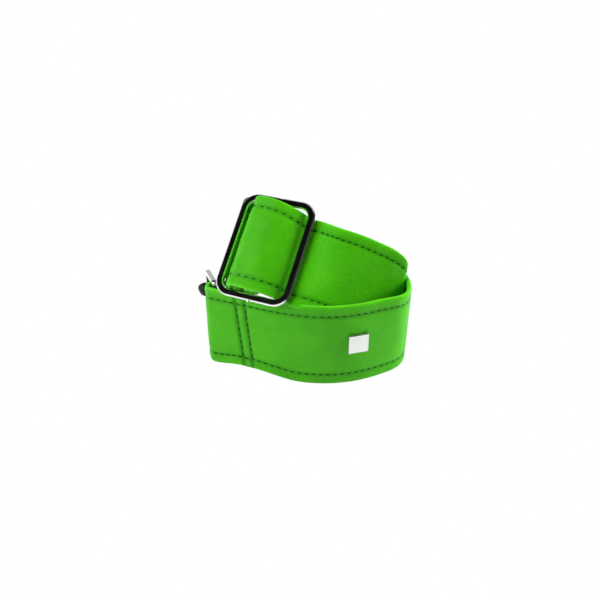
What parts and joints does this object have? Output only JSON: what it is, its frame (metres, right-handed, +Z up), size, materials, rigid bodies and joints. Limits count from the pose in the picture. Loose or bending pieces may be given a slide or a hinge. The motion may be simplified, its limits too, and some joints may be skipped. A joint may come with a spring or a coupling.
{
  "type": "martingale collar",
  "caption": "Rolled-up martingale dog collar: wide stitched leather strap with an adjusting slider, flat rings, a cord control loop with a leash ring and a plain square plate.",
  "frame": {"origin": "middle of the footprint, on the surface the strap's lower edge stands on", "axes": "+Z up along the standing strap; -Y towards the badge side, where the front of the roll faces; +X to the right with the rings on the left"},
  "size_m": [0.1239, 0.0701, 0.0952],
  "materials": {
    "green_leather": "soft sheen, fine grain",
    "webbing": "woven",
    "thread": "twisted thread",
    "cord_core": "braided",
    "nickel": "polished",
    "badge_metal": "plain polished"
  },
  "bodies": {
    "strap": {"outer_leather": "green_leather", "inner_leather": "green_leather", "webbing_core": "webbing", "outer_stitch_row_lower": "thread", "outer_stitch_row_upper": "thread", "inner_stitch_row_lower": "thread", "inner_stitch_row_upper": "thread", "fold_seam_thread": "thread", "slider_frame": "nickel", "slider_centre_bar": "nickel", "control_loop_leather": "green_leather", "control_loop_core": "cord_core", "badge_plate": "badge_metal", "badge_rivets": "badge_metal", "badge_backing": "badge_metal"},
    "lower_ring": {"lower_ring": "nickel"},
    "upper_ring": {"upper_ring": "nickel"},
    "leash_ring": {"leash_ring": "nickel"}
  },
  "joints": [
    {"name": "lower_ring_hinge", "type": "hinge", "parent": "strap", "child": "lower_ring", "pos_m": [-0.05044, -0.00881, 0.0269], "axis": [0, 0, 1], "range_deg": [-3, 3]},
    {"name": "upper_ring_hinge", "type": "hinge", "parent": "strap", "child": "upper_ring", "pos_m": [-0.03353, 0.00747, 0.07022], "axis": [0.297, 0.645, 0.7041], "range_deg": [-2, 2]},
    {"name": "leash_ring_swing", "type": "hinge", "parent": "strap", "child": "leash_ring", "pos_m": [-0.0097, 0.00562, 0.027], "axis": [0.9939, -0.1104, 0], "range_deg": [-20, 20]}
  ]
}
